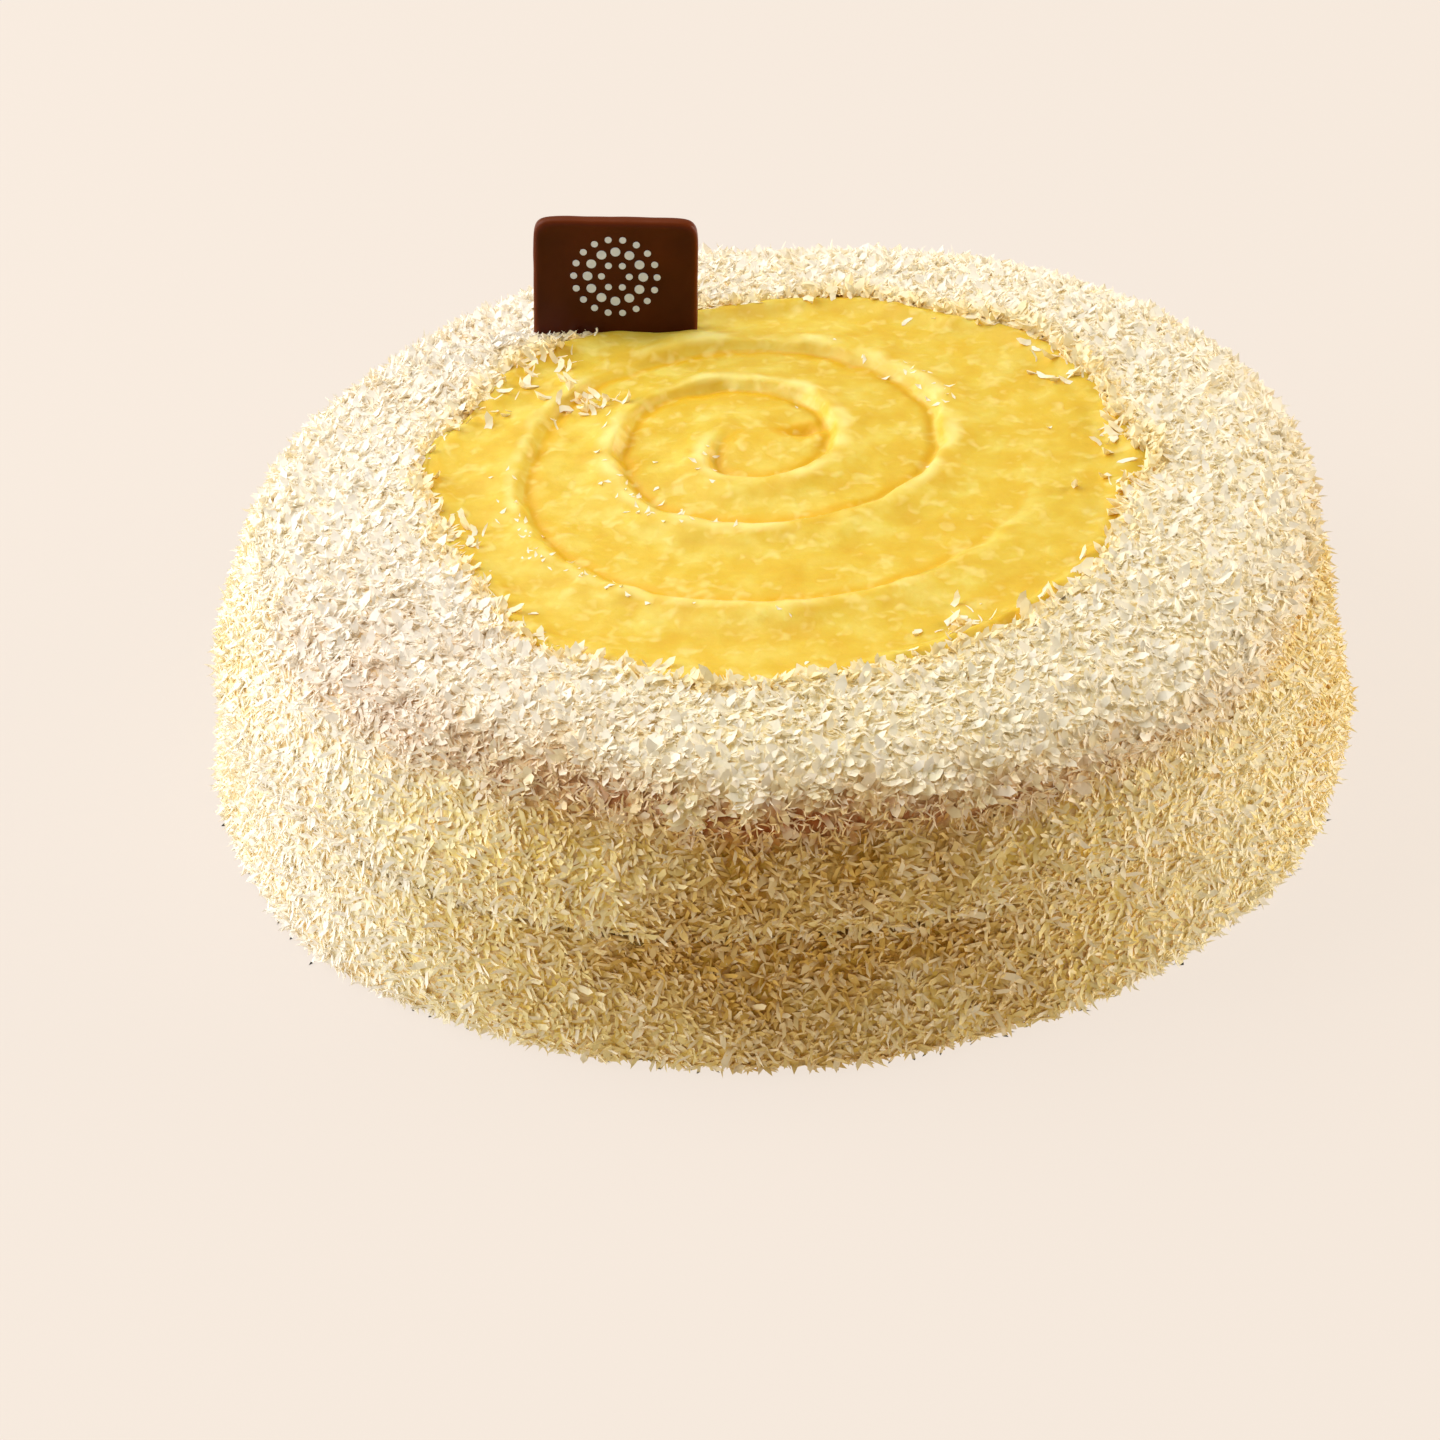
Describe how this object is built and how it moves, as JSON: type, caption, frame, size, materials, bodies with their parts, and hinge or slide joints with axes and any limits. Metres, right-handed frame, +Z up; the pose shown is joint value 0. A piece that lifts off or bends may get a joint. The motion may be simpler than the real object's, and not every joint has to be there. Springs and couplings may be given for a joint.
{
  "type": "coconut cake",
  "caption": "Round two-tier coconut-coated sponge cake with a swirled custard top and a small square chocolate plaque standing in it.",
  "frame": {"origin": "centre of the cake's flat underside, on the surface that it stands on", "axes": "+Z up out of the custard, +Y towards the back, where the plaque stands a little to the left, +X to the right as seen from the front"},
  "size_m": [0.2416, 0.242, 0.0912],
  "materials": {
    "coconut_sponge": "shredded coconut over yellow sponge",
    "custard": "moist, smooth, softly glossy",
    "chocolate": "tempered, softly glossy, with pale printed ornament"
  },
  "bodies": {
    "root": {"lower_sponge": "coconut_sponge", "upper_sponge": "coconut_sponge", "custard_top": "custard", "chocolate_plaque": "chocolate"}
  },
  "joints": []
}
